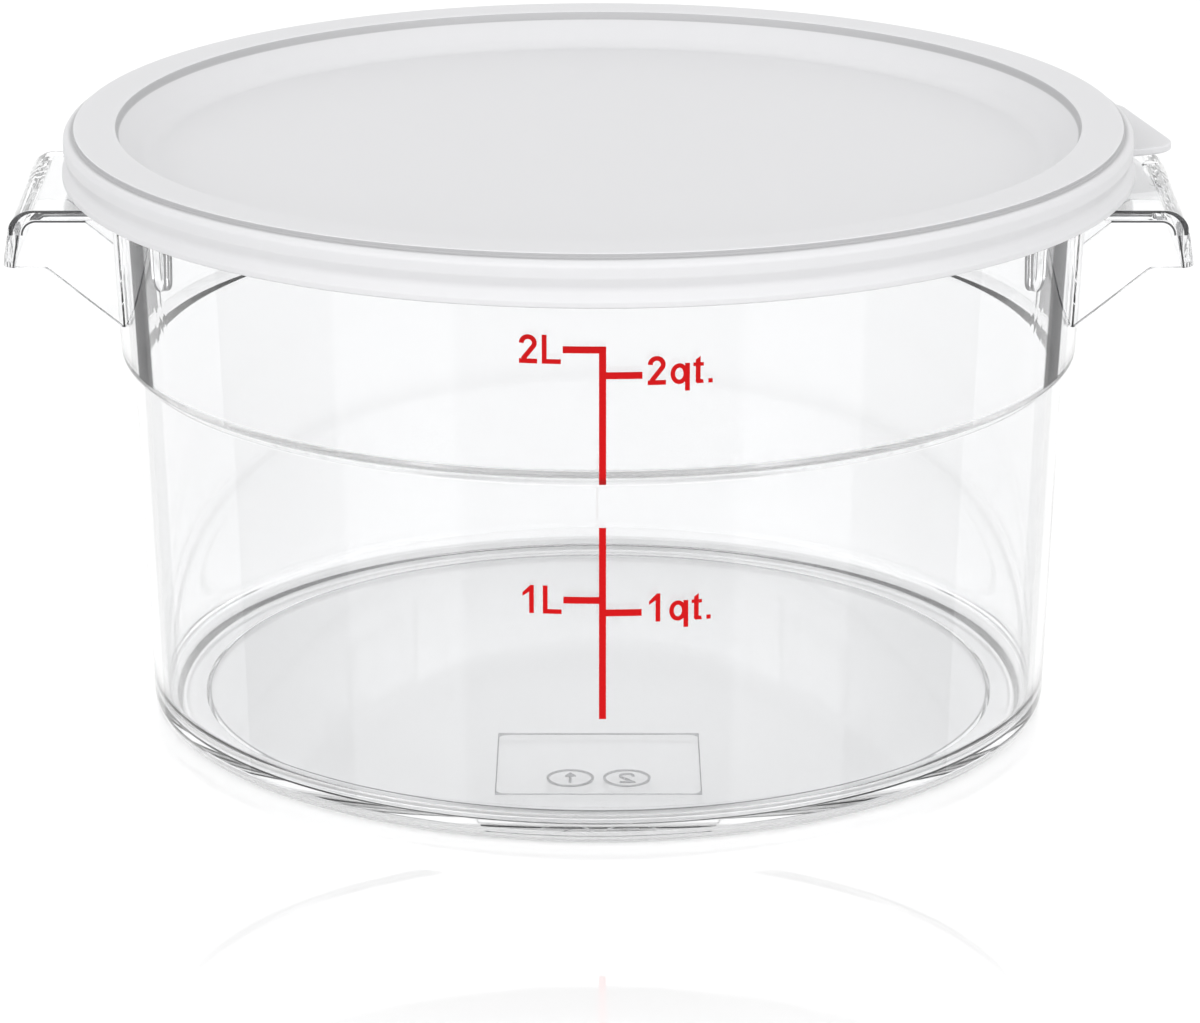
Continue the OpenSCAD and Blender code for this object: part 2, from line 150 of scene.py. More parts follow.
class LugSizes(bpy.types.PropertyGroup):
    width: length("Width", "Width of a stacking lug", 4.7 * MM)
    depth: length("Depth", "How far a lug stands in from the wall", 1.6 * MM)
    rise: length("Length", "Length of a lug", 11 * MM)
    drop: length("Drop", "From the top of the rim to the bottom of a lug", 20 * MM)
    turn: angle("Turn", "Angle of each lug from the handles' line", 28)
    edge_r: length("Edge", "Rounding of a lug's edges", 0.4 * MM)


class MarkSizes(bpy.types.PropertyGroup):
    panel_w: length("Panel width", "Width of the sunk panel in the underside", 36.6 * MM)
    panel_l: length("Panel length", "Length of the panel, front to back", 31 * MM)
    panel_y: length("Panel place", "From the axis to the middle of the panel", 47.5 * MM)
    depth: length("Depth", "Depth of the panel", 0.25 * MM)
    ring_d: length("Ring", "Outer diameter of a ring mark", 8.6 * MM)
    pitch: length("Pitch", "Distance between the ring marks", 10.2 * MM)
    inset: length("Inset", "From the panel's front edge to the ring marks", 8.1 * MM)
    line: length("Line", "Width of the lines in the marks", 0.5 * MM)


class LidSizes(bpy.types.PropertyGroup):
    top_z: length("Top", "Height of the flat ring", lid_high.z)
    foot_z: length("Foot", "Height of the bottom edge of the skirt", lid_low.z)
    foot_r: length("Foot radius", "Outer radius of the skirt at its foot", -lid_low.x)
    spread: length("Spread", "How far the skirt spreads from top to bottom", 0.3 * MM)
    skirt: length("Skirt", "Thickness of the skirt above its waist", 2.1 * MM)
    lead: length("Lead", "How far the skirt's inner face opens towards its foot", 0.8 * MM)
    waist_w: length("Waist", "Depth of the waist round the skirt", 0.7 * MM)
    waist_z: length("Waist height", "Height of the waist and of the bead behind it", 105.85 * MM)
    waist_h: length("Waist half height", "From the middle of the waist to its ends", 2 * MM)
    shoulder_w: length("Shoulder width", "Width of the round shoulder outside the ring", 1.95 * MM)
    shoulder_h: length("Shoulder drop", "From the ring down to the round shoulder", 1 * MM)
    wall: length("Wall", "Thickness of the lid's skin", 1.6 * MM)
    recess_r: length("Recess radius", "Radius of the edge of the sunk middle", 89.25 * MM)
    recess_h: length("Recess depth", "How far the middle is sunk", 6 * MM)
    steep_h: length("Steep face", "Height of the steep face below the edge", 1.4 * MM)
    cove_w: length("Cove", "Width of the cove round the sunk middle", 5.7 * MM)
    bead_h: length("Bead", "How far the bead stands in from the skirt", 0.7 * MM)
    tab_out: length("Tab reach", "How far the pull tab reaches from the axis", 107.25 * MM)
    tab_w: length("Tab width", "Width of the pull tab", 40 * MM)
    tab_h: length("Tab thickness", "Thickness of the pull tab", 1.4 * MM)
    tab_rise: length("Tab rise", "From the foot of the skirt up to the pull tab", 0.5 * MM)
    tab_r: length("Tab corners", "Radius of the pull tab's corners", 6 * MM)
    tab_turn: angle("Tab turn", "From the right handle's line to the tab", 13.5)


class Finishes(bpy.types.PropertyGroup):
    clear: colour("Clear plastic", "Tint of the clear plastic", (0.94, 0.943, 0.948))
    # The dark edges' tint is painted shade: the dark strips in the upper wall and the outlines along
    # the handles and lugs
    edge: colour("Dark edges", "Tint of the dark strips and outlines", (0.004, 0.004, 0.0045))
    white: colour("White plastic", "Colour of the lid", (0.5, 0.5, 0.51))
    ink: colour("Ink", "Colour of the printed scale", (0.44, 0.002, 0.003))
    # The fine lines' tint is painted shade: on the underside's moulded edges and marks, and a grey
    # band on the bottom corner
    line: colour("Fine lines", "Tint of the fine edges in the underside", (0.08, 0.08, 0.085))
    floor: colour("Floor", "Colour of the studio floor", (0.765, 0.765, 0.765))


class Lighting(bpy.types.PropertyGroup):
    sky: strength("Sky", "Strength of the white surroundings", 1.05)
    front: strength("Front", "Extra strength of the surroundings in front", 1.6)
    softbox: strength("Softbox", "Extra strength of the softbox high at the back", 0.4)
    card: strength("Card", "Strength of the grey cards that the walls mirror", 0.55)
    gap: strength("Gap", "Extra strength between those cards", 0.5)
    fill: strength("Fill", "Power of the light under the lid, in watts", 0.115)
    fill_d: length("Fill size", "Diameter of the light under the lid", 150 * MM)
    fill_z: length("Fill height", "Height of the light under the lid", 100 * MM)


class CameraPlace(bpy.types.PropertyGroup):
    distance: length("Distance", "From the container's axis to the camera", 982.5 * MM)
    height: length("Height", "Height of the camera above the table", 351 * MM)
    pitch: angle("Pitch", "How far the camera looks down", 17.828)
    lens: FloatProperty(
        name="Lens", description="Focal length for a 36 mm wide frame, in mm", default=163.3
    )
    shift: FloatProperty(
        name="Shift", description="Sideways shift, as a part of the frame's width", default=0.00125
    )


# Outlines and meshes


def rounded(corners, steps=8):
    """A closed outline from corners (x, y, radius), each arc drawn in steps straight pieces."""
    outline = []
    for i, (x, y, r) in enumerate(corners):
        here = Vector((x, y))
        before = Vector(corners[i - 1][:2])
        after = Vector(corners[(i + 1) % len(corners)][:2])
        if r <= 0:
            outline.append(here)
            continue
        u, v = (before - here).normalized(), (after - here).normalized()
        half = u.angle(v) / 2
        centre = here + (u + v).normalized() * r / math.sin(half)
        start = here + u * r / math.tan(half) - centre
        end = here + v * r / math.tan(half) - centre
        sweep = math.atan2(start.x * end.y - start.y * end.x, start.dot(end))
        for step in range(steps + 1):
            a = sweep * step / steps
            turned = Vector(
                (
                    start.x * math.cos(a) - start.y * math.sin(a),
                    start.x * math.sin(a) + start.y * math.cos(a),
                )
            )
            outline.append(centre + turned)
    return outline


def beside(path, distance):
    """The open path moved to its left, with sharp corners."""
    moved = []
    for i, here in enumerate(path):
        before = path[max(i - 1, 0)]
        after = path[min(i + 1, len(path) - 1)]
        u = ((here - before) if i else (after - here)).normalized()
        v = ((after - here) if i < len(path) - 1 else (here - before)).normalized()
        left_u, left_v = Vector((-u.y, u.x)), Vector((-v.y, v.x))
        moved.append(here + (left_u + left_v) * distance / (1 + left_u.dot(left_v)))
    return moved


def mesh_object(name, bm):
    bmesh.ops.recalc_face_normals(bm, faces=bm.faces)
    mesh = bpy.data.meshes.new(name)
    bm.to_mesh(mesh)
    bm.free()
    piece = bpy.data.objects.new(name, mesh)
    bpy.context.scene.collection.objects.link(piece)
    return piece


def lathe(name, outline, facets):
    """Turns a closed outline (radius, height) round the Z axis. Points on the axis become poles."""
    bm = bmesh.new()
    rings = []
    for p in outline:
        if p.x < 1e-9:
            rings.append([bm.verts.new((0, 0, p.y))])
        else:
            turns = (2 * math.pi * i / facets for i in range(facets))
            rings.append([bm.verts.new((p.x * math.cos(a), p.x * math.sin(a), p.y)) for a in turns])
    for a, b in zip(rings, rings[1:] + rings[:1]):
        if len(a) == 1 and len(b) == 1:
            continue
        for i in range(facets):
            j = (i + 1) % facets
            corners = [a[i % len(a)], a[j % len(a)], b[j % len(b)], b[i % len(b)]]
            bm.faces.new(list(dict.fromkeys(corners)))
    return mesh_object(name, bm)


def prism(name, outline, low, high, upright=True):
    """An outline pulled into a solid: an (x, y) outline up Z, or an (x, z) outline along Y."""
    bm = bmesh.new()

    def place(p, d):
        return (p.x, p.y, d) if upright else (p.x, d, p.y)

    ends = [[bm.verts.new(place(p, d)) for p in outline] for d in (low, high)]
    for end in ends:
        bm.faces.new(end)
    for i in range(len(outline)):
        bm.faces.new((ends[0][i - 1], ends[0][i], ends[1][i], ends[1][i - 1]))
    return mesh_object(name, bm)


def apply_modifiers(piece):
    shaped = piece.evaluated_get(bpy.context.evaluated_depsgraph_get())
    mesh = bpy.data.meshes.new_from_object(shaped)
    piece.modifiers.clear()
    piece.data = mesh
    return piece


def combine(piece, other, operation):
    """Joins, cuts or keeps what two solids share. The other solid is used up."""
    modifier = piece.modifiers.new(operation.lower(), "BOOLEAN")
    modifier.operation = operation
    modifier.solver = "EXACT"
    modifier.object = other
    apply_modifiers(piece)
    bpy.data.objects.remove(other)
    return piece


def without_slivers(piece, shortest=0.08 * MM):
    """Joins corners that a cut left almost on top of each other."""
    bm = bmesh.new()
    bm.from_mesh(piece.data)
    bmesh.ops.remove_doubles(bm, verts=bm.verts, dist=shortest)
    bm.to_mesh(piece.data)
    bm.free()
    return piece


def soften_edges(piece, radius, steps=3, sharper_than=35):
    modifier = piece.modifiers.new("soft edges", "BEVEL")
    modifier.width = radius
    modifier.segments = steps
    modifier.limit_method = "ANGLE"
    modifier.angle_limit = math.radians(sharper_than)
    return apply_modifiers(piece)


def turned(piece, a):
    """The piece turned about the Z axis, in its mesh."""
    for v in piece.data.vertices:
        x, y = v.co.x, v.co.y
        v.co.x = x * math.cos(a) - y * math.sin(a)
        v.co.y = x * math.sin(a) + y * math.cos(a)
    return piece


def copy_of(piece):
    twin = piece.copy()
    twin.data = piece.data.copy()
    bpy.context.scene.collection.objects.link(twin)
    return twin


def smooth(piece, sharp_degrees=32):
    piece.data.shade_smooth()
    piece.data.set_sharp_from_angle(angle=math.radians(sharp_degrees))
    modifier = piece.modifiers.new("even normals", "WEIGHTED_NORMAL")
    modifier.mode = "FACE_AREA"
    modifier.weight = 100
    modifier.keep_sharp = True
    return piece


# Shaders


class Socket:
    """A shader socket. Sums, products and powers of sockets and numbers add Math nodes."""

    def __init__(self, tree, socket):
        self.tree = tree
        self.socket = socket

    def math(self, operation, *values):
        made = self.tree.nodes.new("ShaderNodeMath")
        made.operation = operation
        for slot, value in zip(made.inputs, values):
            join(self.tree, slot, value)
        return Socket(self.tree, made.outputs[0])

    def __add__(self, other):
        return self.math("ADD", self, other)

    def __radd__(self, other):
        return self.math("ADD", other, self)

    def __sub__(self, other):
        return self.math("SUBTRACT", self, other)

    def __rsub__(self, other):
        return self.math("SUBTRACT", other, self)

    def __mul__(self, other):
        return self.math("MULTIPLY", self, other)

    def __rmul__(self, other):
        return self.math("MULTIPLY", other, self)

    def __truediv__(self, other):
        return self.math("DIVIDE", self, other)

    def __rtruediv__(self, other):
        return self.math("DIVIDE", other, self)

    def __pow__(self, other):
        return self.math("POWER", self, other)

    def __abs__(self):
        return self.math("ABSOLUTE", self)

    def __gt__(self, other):
        return self.math("GREATER_THAN", self, other)

    def __lt__(self, other):
        return self.math("LESS_THAN", self, other)

    def or_more(self, other):
        return self.math("MAXIMUM", self, other)


def join(tree, slot, value):
    """Links a socket to an input, or sets the input to a plain value."""
    if isinstance(value, Socket):
        tree.links.new(value.socket, slot)
    elif isinstance(value, (tuple, list)) and slot.type == "RGBA" and len(value) == 3:
        slot.default_value = (*value, 1)
    else:
        slot.default_value = value


class Nodes:
    """A node tree, and short ways to add to it."""

    def __init__(self, owner):
        owner.use_nodes = True
        self.owner = owner
        self.tree = owner.node_tree

    def node(self, kind, settings=None, **values):
        """Adds any node: its settings first, then the values or links of its sockets."""
        made = self.tree.nodes.new(kind)
        for key, value in (settings or {}).items():
            setattr(made, key, value)
        for key, value in values.items():
            name = key.replace("_", " ")
            slot = next(s for s in made.inputs if s.name == name and s.enabled)
            join(self.tree, slot, value)
        return made

    def out(self, made, name=None):
        found = [s for s in made.outputs if s.enabled and (name is None or s.name == name)]
        return Socket(self.tree, found[0])

    def split(self, vector):
        made = self.node("ShaderNodeSeparateXYZ", None, Vector=vector)
        return [self.out(made, axis) for axis in "XYZ"]

    def step(self, value, low, high):
        """0 below low, 1 above high, and smooth in between."""
        settings = {"interpolation_type": "SMOOTHSTEP"}
        made = self.node("ShaderNodeMapRange", settings, Value=value, From_Min=low, From_Max=high)
        return self.out(made, "Result")

    def band(self, value, low, high, soft):
        """1 between low and high, and 0 outside, with soft ends."""
        half = soft / 2
        above = self.step(value, low - half, low + half)
        return above * (1 - self.step(value, high - half, high + half))

    def between(self, factor, a, b):
        """A colour from a to b."""
        made = self.node("ShaderNodeMix", {"data_type": "RGBA"}, Factor=factor, A=a, B=b)
        return self.out(made, "Result")


class Shader(Nodes):
    """A material with one Principled shader."""

    def __init__(self, name):
        super().__init__(bpy.data.materials.new(name))
        self.surface = self.tree.nodes["Principled BSDF"]

    @property
    def material(self):
        return self.owner

    def place(self):
        """Where a point is on the object, in metres."""
        return self.out(self.node("ShaderNodeTexCoord"), "Object")

    def noise(self, scale, detail=2):
        place = self.place()
        made = self.node("ShaderNodeTexNoise", None, Vector=place, Scale=scale, Detail=detail)
        return self.out(made, "Fac")

    def slant(self):
        """0 where the surface faces the eye, and 1 where it is seen edge on."""
        return self.out(self.node("ShaderNodeLayerWeight", None, Blend=0.5), "Facing")

    def facing(self):
        """How far the surface faces along X, Y and Z, without sign."""
        normal = self.out(self.node("ShaderNodeNewGeometry"), "True Normal")
        return [abs(part) for part in self.split(normal)]

    def bump(self, height, distance, strength=1.0):
        made = self.node("ShaderNodeBump", None, Height=height, Distance=distance, Strength=strength)
        return self.out(made, "Normal")

    def set(self, **values):
        for key, value in values.items():
            join(self.tree, self.surface.inputs[key.replace("_", " ")], value)
        return self


def handle_edge_painted_shade(s, c, h):
    """1 on lines along the edges of a handle's plate and lip, on the outer faces of its webs, where
    dark lines are painted as shade.
    """
    x, y, z = s.split(s.place())
    along_x, along_y = s.facing()[:2]
    bend_x = abs(x) - (h.out - h.bend_r)
    bend_z = z - (h.top_z - h.bend_r)

    def outside(inset):
        """1 outside the outline of plate and lip, moved in by inset."""
        over = z > h.top_z - inset
        out = abs(x) > h.out + (h.top_z - z) * (h.lean / h.lip) - inset
        bend = (bend_x > 0) * (bend_z > 0) * ((bend_x**2 + bend_z**2) ** 0.5 > h.bend_r - inset)
        return over.or_more(out).or_more(bend)

    half = EDGE_LINE / 2
    inner_line = outside(h.wall + half) * (1 - outside(h.wall - half))
    lines = outside(EDGE_LINE).or_more(inner_line) * (abs(y) > h.width / 2 - EDGE_LINE)
    # The upright corners between lip and webs, which get the painted shade too: they face out along
    # X and turn towards Y
    corner = (along_x > 0.9) * (along_y > 0.12)
    beyond = (abs(x) > upper_r(c, c.height) + c.rim_w / 2) * (z < h.top_z + SLACK)
    return beyond * lines.or_more(corner)


def lug_edge_painted_shade(s, c, u, away, z):
    """1 on the rounded edges of the stacking lugs, just behind their flat faces, where dark lines
    are painted as shade.
    """
    foot_z = c.height - u.drop
    face_r = upper_r(c, foot_z) - c.wall - u.depth
    level = (z > foot_z - SLACK) * (z < foot_z + u.rise + SLACK)
    return level * (away > face_r + 0.08 * MM) * (away < face_r + u.edge_r + SLACK)


def slanted_wall_painted_shade(s, c, away, z):
    """1 on the upper wall where it is seen at a slant, between its shoulder and its mouth. There
    dark strips are painted as shade.
    """
    low = c.shoulder_z + 2.8 * MM
    high = c.height - 4 * MM
    upper = s.band(z, low, high, 0.2 * MM) * (away < lower_r(c, c.height) + 5 * MM)
    upright = 1 - s.step(s.facing()[2], 0.06, 0.1)
    slanted = s.band(s.slant(), *STRIP_SLANT, 0.012) * upright
    return upper * slanted


def underside_painted_shade_lines(s, c, m, away, z):
    """1 where fine dark lines are painted as shade: on the foot ring's inner edge, on the panel's
    border and on the marks in the panel.
    """
    x, y = s.split(s.place())[:2]
    line_r = foot_r(c) - c.foot_h - EDGE_LINE
    foot_line = s.band(away, line_r, foot_r(c), 0.1 * MM) * (z < c.foot_h + 0.05 * MM)
    in_width = abs(x) < m.panel_w / 2 + 0.25 * MM
    in_length = abs(y + m.panel_y) < m.panel_l / 2 + 0.6 * MM
    marks = in_width * in_length * (z < c.foot_h + 0.8 * m.depth)
    return foot_line.or_more(marks)


def clear_plastic(finish, c, h, u, m):
    """Polished clear plastic with painted shade: dark strips and outlines, grey lines at its bottom,
    and a grey band on its bottom corner.
    """
    s = Shader("clear_plastic")
    x, y, z = s.split(s.place())
    away = (x * x + y * y) ** 0.5
    # Painted shade: dark outlines along the handles and lugs, and dark strips in the slanted upper
    # wall
    outlines = handle_edge_painted_shade(s, c, h).or_more(lug_edge_painted_shade(s, c, u, away, z))
    dark = outlines.or_more(slanted_wall_painted_shade(s, c, away, z))
    clear = s.between(dark, tuple(finish.clear), tuple(finish.edge))
    # Painted shade: a grey band on the rounded bottom corner
    corner = (1 - s.step(z, 1.2 * MM, c.corner_r)) * (away > c.base_r - c.corner_r)
    shaded = s.between(corner * CORNER_SHADE, clear, tuple(finish.line))
    wear = s.step(s.noise(900, 3), 0.55, 0.8)
    s.set(
        # Painted shade: fine dark lines along the underside's moulded edges and marks
        Base_Color=s.between(underside_painted_shade_lines(s, c, m, away, z), shaded, tuple(finish.line)),
        Roughness=0.004 + 0.02 * wear,
        Normal=s.bump(s.noise(35, 1), 0.00002),
        IOR=1.585,
        Transmission_Weight=1.0,
    )
    return s.material


def white_plastic(finish, lid):
    """Satin polyethylene: a fine moulded grain, faint flow marks, and painted shade in its two
    corners.
    """
    s = Shader("white_plastic")
    x, y, z = s.split(s.place())
    away = (x * x + y * y) ** 0.5
    # Painted shade: a dark line round the flat ring's outer edge and round the recess's edge
    ring_r = lid.foot_r - lid.spread - lid.shoulder_w
    below_top = z < lid.top_z - 0.15 * MM
    begin = s.step(away, ring_r - 0.6 * MM, ring_r - 0.1 * MM)
    end = s.step(away, ring_r + 0.1 * MM, ring_r + 1.3 * MM)
    inner = s.band(away, lid.recess_r - 0.6 * MM, lid.recess_r + 0.2 * MM, 0.2 * MM)
    shade = (begin * (1 - end)).or_more(inner) * below_top
    flow = s.noise(14, 2)
    pale = tuple(min(1, v * 1.04) for v in finish.white)
    plain = s.between(flow, tuple(finish.white), pale)
    s.set(
        Base_Color=s.between(shade, plain, tuple(v * LID_SHADE for v in finish.white)),
        Roughness=0.36 + 0.1 * flow,
        Normal=s.bump(s.noise(2600, 2), 0.00001, 0.5),
        IOR=1.5,
        Subsurface_Weight=0.15,
        Subsurface_Radius=(0.004, 0.004, 0.004),
        Subsurface_Scale=1.0,
    )
    return s.material


def red_ink(finish):
    """Screen-printed ink: dense, with a faint mesh texture."""
    s = Shader("red_ink")
    density = s.noise(1500, 2)
    deep = tuple(v * 0.9 for v in finish.ink)
    s.set(
        Base_Color=s.between(density, deep, tuple(finish.ink)),
        Roughness=0.5 + 0.12 * density,
        Normal=s.bump(s.noise(5000, 1), 0.000008),
        Specular_IOR_Level=0.1,
    )
    return s.material


def studio_floor(finish):
    """A pale glossy table that mirrors what stands near its middle."""
    s = Shader("studio_floor")
    x, y = s.split(s.place())[:2]
    near = 1 - s.step((x * x + y * y) ** 0.5, *MIRROR_FADE)
    s.set(Base_Color=tuple(finish.floor), Roughness=0.5, Specular_IOR_Level=0.2)
    mirror = s.node("ShaderNodeBsdfGlossy", None, Color=(1, 1, 1), Roughness=0.02)
    blend = s.node("ShaderNodeMixShader", None, Fac=near * MIRROR_SHARE)
    s.tree.links.new(s.surface.outputs[0], blend.inputs[1])
    s.tree.links.new(mirror.outputs[0], blend.inputs[2])
    s.tree.links.new(blend.outputs[0], s.tree.nodes["Material Output"].inputs["Surface"])
    return s.material


def studio_sky(light):
    """White all round: brighter in front, a softbox high at the back, and cards below the table."""
    s = Nodes(bpy.data.worlds.new("studio_sky"))
    x, y, z = s.split(s.out(s.node("ShaderNodeTexCoord"), "Generated"))
    # From 1 straight in front of the scale to -1 straight behind the container
    front = -1 * y / ((x * x + y * y) ** 0.5 + 1e-6)
    low = 1 - s.step(z, 0.5, 0.9)
    high = s.band(z, 0.56, 0.88, 0.1) * s.step(-1 * front, 0.4, 0.8)
    above = light.sky + light.front * s.step(front, -0.2, 0.8) * low + light.softbox * high
    rear = (front < -0.2) * (1 - 0.6 * s.band(front, *REAR_CARD, 0.02))
    cards = light.card + light.gap * s.band(front, *FRONT_GAP, 0.03) + light.gap * rear
    level = (z < CARD_LEVEL[1]) * (z > CARD_LEVEL[0])
    lit = above * (z > 0) + cards * level
    rest = light.sky * (z < 0) * (1 - level)
    shine = s.tree.nodes["Background"].inputs
    shine["Color"].default_value = (1, 1, 1, 1)
    join(s.tree, shine["Strength"], lit + rest)
    return s.owner


def dress(piece, material):
    piece.data.materials.clear()
    piece.data.materials.append(material)


# Container


def lower_r(c, z):
    return c.base_r + z * math.tan(c.lower_draft)


def shoulder_top(c):
    return c.shoulder_z + c.shoulder_h


def upper_r(c, z):
    up = z - shoulder_top(c)
    return lower_r(c, c.shoulder_z) + c.shoulder_w + up * math.tan(c.upper_draft)


def foot_r(c):
    """Radius of the foot ring's inner edge, at the table."""
    return c.base_r - c.corner_r - c.foot_w


def container_outline(c):
    step_z = shoulder_top(c)
    floor_z = c.foot_h + c.floor
    rim_foot = c.height - c.rim
    rim_r = upper_r(c, c.height) + c.rim_w
    mouth_r = upper_r(c, c.height) - c.wall + c.flare_w
    flare_z = c.height - c.flare_h
    return rounded(
        [
            (0, c.foot_h, 0),
            (foot_r(c) - c.foot_h, c.foot_h, 0.15 * MM),
            (foot_r(c), 0, 0.15 * MM),
            (c.base_r, 0, c.corner_r),
            (lower_r(c, c.shoulder_z), c.shoulder_z, 0.6 * MM),
            (upper_r(c, step_z), step_z, 1.4 * MM),
            (upper_r(c, rim_foot), rim_foot, 0.8 * MM),
            (rim_r, rim_foot, 0.8 * MM),
            (rim_r, c.height, 0.8 * MM),
            (mouth_r, c.height, 0.4 * MM),
            (upper_r(c, flare_z) - c.wall, flare_z, 3 * MM),
            (upper_r(c, step_z) - c.wall, step_z + 1 * MM, 0.8 * MM),
            (lower_r(c, c.shoulder_z) - c.wall, c.shoulder_z, 1.4 * MM),
            (lower_r(c, floor_z) - c.wall, floor_z, c.cove_r),
            (0, floor_z, 0),
        ]
    )


def inside_wall(c):
    """A solid that fills the container up to the middle of its wall."""
    step_z = shoulder_top(c)
    middle = c.wall / 2
    below = -5 * MM
    above = c.height + 5 * MM
    points = [
        (0, below),
        (lower_r(c, below) - middle, below),
        (lower_r(c, c.shoulder_z) - middle, c.shoulder_z),
        (upper_r(c, step_z) - middle, step_z),
        (upper_r(c, above) - middle, above),
        (0, above),
    ]
    return lathe("inside_wall", [Vector(p) for p in points], c.facets)


def handle_form(h, inset, foot_z):
    """Plate, bend, leaning lip and upright webs as one block, moved inwards by inset."""
    slope = h.lean / h.lip
    side = rounded(
        [
            (0.02, h.top_z - inset, 0),
            (h.out - inset, h.top_z - inset, h.bend_r - inset),
            (h.out - inset + slope * (h.top_z - foot_z), foot_z, 0),
            (0.02, foot_z, 0),
        ],
        steps=16,
    )
    half = h.width / 2 - inset
    front = h.out + h.lean - inset
    corner = max(h.corner_r - inset, 0.6 * MM)
    corners = [(0.01, -half, 0), (front, -half, corner), (front, half, corner), (0.01, half, 0)]
    plan = rounded(corners, steps=4)
    block = prism("handle", side, -h.width, h.width, upright=False)
    return combine(block, prism("plan", plan, foot_z - MM, h.top_z + MM), "INTERSECT")


def web_edge_cutter(c, h):
    """All that lies below a web's edge: level behind the lip, then down to the wall."""
    web_foot = h.top_z - h.drop
    lip_foot = h.top_z - h.lip
    lip_out = h.out + h.lean
    far = lip_out + 5 * MM
    below = web_foot - 20 * MM
    side = rounded(
        [
            (upper_r(c, web_foot) - c.wall, web_foot, 0),
            (lip_out - h.web_flat, lip_foot, 2 * MM),
            (far, lip_foot, 0),
            (far, below, 0),
            (0, below, 0),
            (0, web_foot, 0),
        ],
        steps=3,
    )
    return prism("below_webs", side, -h.width, h.width, upright=False)


def make_handle(c, h):
    """The right handle: plate, lip and webs with rounded edges, ending in the middle of the wall."""
    foot_z = h.top_z - h.drop - 2 * MM
    handle = handle_form(h, 0, foot_z)
    handle = combine(handle, handle_form(h, h.wall, foot_z - 2 * MM), "DIFFERENCE")
    handle = combine(handle, web_edge_cutter(c, h), "DIFFERENCE")
    handle = soften_edges(without_slivers(handle), h.edge_r)
    return combine(handle, inside_wall(c), "DIFFERENCE")


def stacking_lugs(c, u):
    """Four ribs with round ends on the inner face of the wall."""
    foot_z = c.height - u.drop
    inner_r = upper_r(c, foot_z) - c.wall - u.depth
    outer_r = upper_r(c, foot_z) - 0.3 * c.wall
    half = u.width / 2
    top_z = foot_z + u.rise
    corners = [(-half, foot_z), (half, foot_z), (half, top_z), (-half, top_z)]
    face = rounded([(x, z, half) for x, z in corners], steps=10)
    lugs = []
    for a in (u.turn, math.pi - u.turn, math.pi + u.turn, -u.turn):
        lug = prism("lug", face, inner_r, outer_r, upright=False)
        soften_edges(lug, u.edge_r, sharper_than=60)
        lugs.append(turned(lug, a - math.pi / 2))
    return lugs


def ring(x, y, outer, inner, low, high):
    """An upright tube round x, y, from low to high."""
    corners = [(inner, low), (outer, low), (outer, high), (inner, high)]
    piece = lathe("ring", [Vector(p) for p in corners], facets=64)
    for v in piece.data.vertices:
        v.co.x += x
        v.co.y += y
    return piece


def moulded_marks(c, m):
    """Cutters for the sunk panel and the outlines of the marks in it."""
    half_w, half_l = m.panel_w / 2, m.panel_l / 2
    low, high = c.foot_h - MM, c.foot_h + m.depth
    corner = 1.6 * MM
    spots = [(-half_w, -half_l), (half_w, -half_l), (half_w, half_l), (-half_w, half_l)]
    plan = rounded([(x, y - m.panel_y, corner) for x, y in spots])
    panel = prism("panel", plan, low, high)
    ring_y = -m.panel_y - half_l + m.inset
    for side in (-1, 1):
        x = side * m.pitch / 2
        mark = ring(x, ring_y, m.ring_d / 2, m.ring_d / 2 - m.line, low, high + MM)
        combine(panel, mark, "DIFFERENCE")
        combine(panel, pointer(x, ring_y, m, side, low, high + MM), "DIFFERENCE")
    return panel


def pointer(x, y, m, side, low, high):
    """What stands inside a ring mark: an arrow on the left, a cavity number on the right."""
    w = m.line / 2
    if side < 0:
        tail, neck, tip = -2.2 * MM, 1 * MM, 2.7 * MM
        plan = [
            (-w, tail),
            (w, tail),
            (w, neck),
            (4 * w, neck),
            (0, tip),
            (-4 * w, neck),
            (-w, neck),
        ]
    else:
        r = 1.2 * MM
        turns = [math.radians(180 - 22 * i) for i in range(10)]
        bowl = [(r * math.cos(a), 1 * MM + r * math.sin(a)) for a in turns]
        path = [Vector(p) for p in bowl + [(-1.1 * MM, -2 * MM), (1.3 * MM, -2 * MM)]]
        plan = beside(path, w) + beside(path, -w)[::-1]
    return prism("pointer", [Vector((x - p[0], y + p[1])) for p in plan], low, high)


def thumb_notch(h):
    low = h.notch_y - h.notch_l / 2
    left = h.out - h.notch_w
    right = h.out + 5 * MM
    corner = h.notch_w * 0.9
    high = low + h.notch_l
    plan = [(left, low, corner), (right, low, 0), (right, high, 0), (left, high, corner)]
    return prism("notch", rounded(plan), h.top_z - h.notch_h, h.top_z + 2 * MM)


class SCENE_OT_clear_container(bpy.types.Operator):
    """Add the clear container: floor, stepped wall, rim, handles and lugs in one moulding"""

    bl_idname = "scene.clear_container"
    bl_label = "Clear container"

    def execute(self, context):
        scene = context.scene
        c, h = scene.container_sizes, scene.handle_sizes
        u, m = scene.lug_sizes, scene.mark_sizes
        piece = lathe("clear_container", container_outline(c), c.facets)
        handle = make_handle(c, h)
        opposite = turned(copy_of(handle), math.pi)
        combine(handle, thumb_notch(h), "DIFFERENCE")
        for part in (handle, opposite, *stacking_lugs(c, u)):
            combine(piece, part, "UNION")
        combine(piece, moulded_marks(c, m), "DIFFERENCE")
        smooth(piece)
        dress(piece, clear_plastic(scene.finishes, c, h, u, m))
        piece.visible_shadow = False
        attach(piece, "container_body")
        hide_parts("container")
        return {"FINISHED"}


# Lid


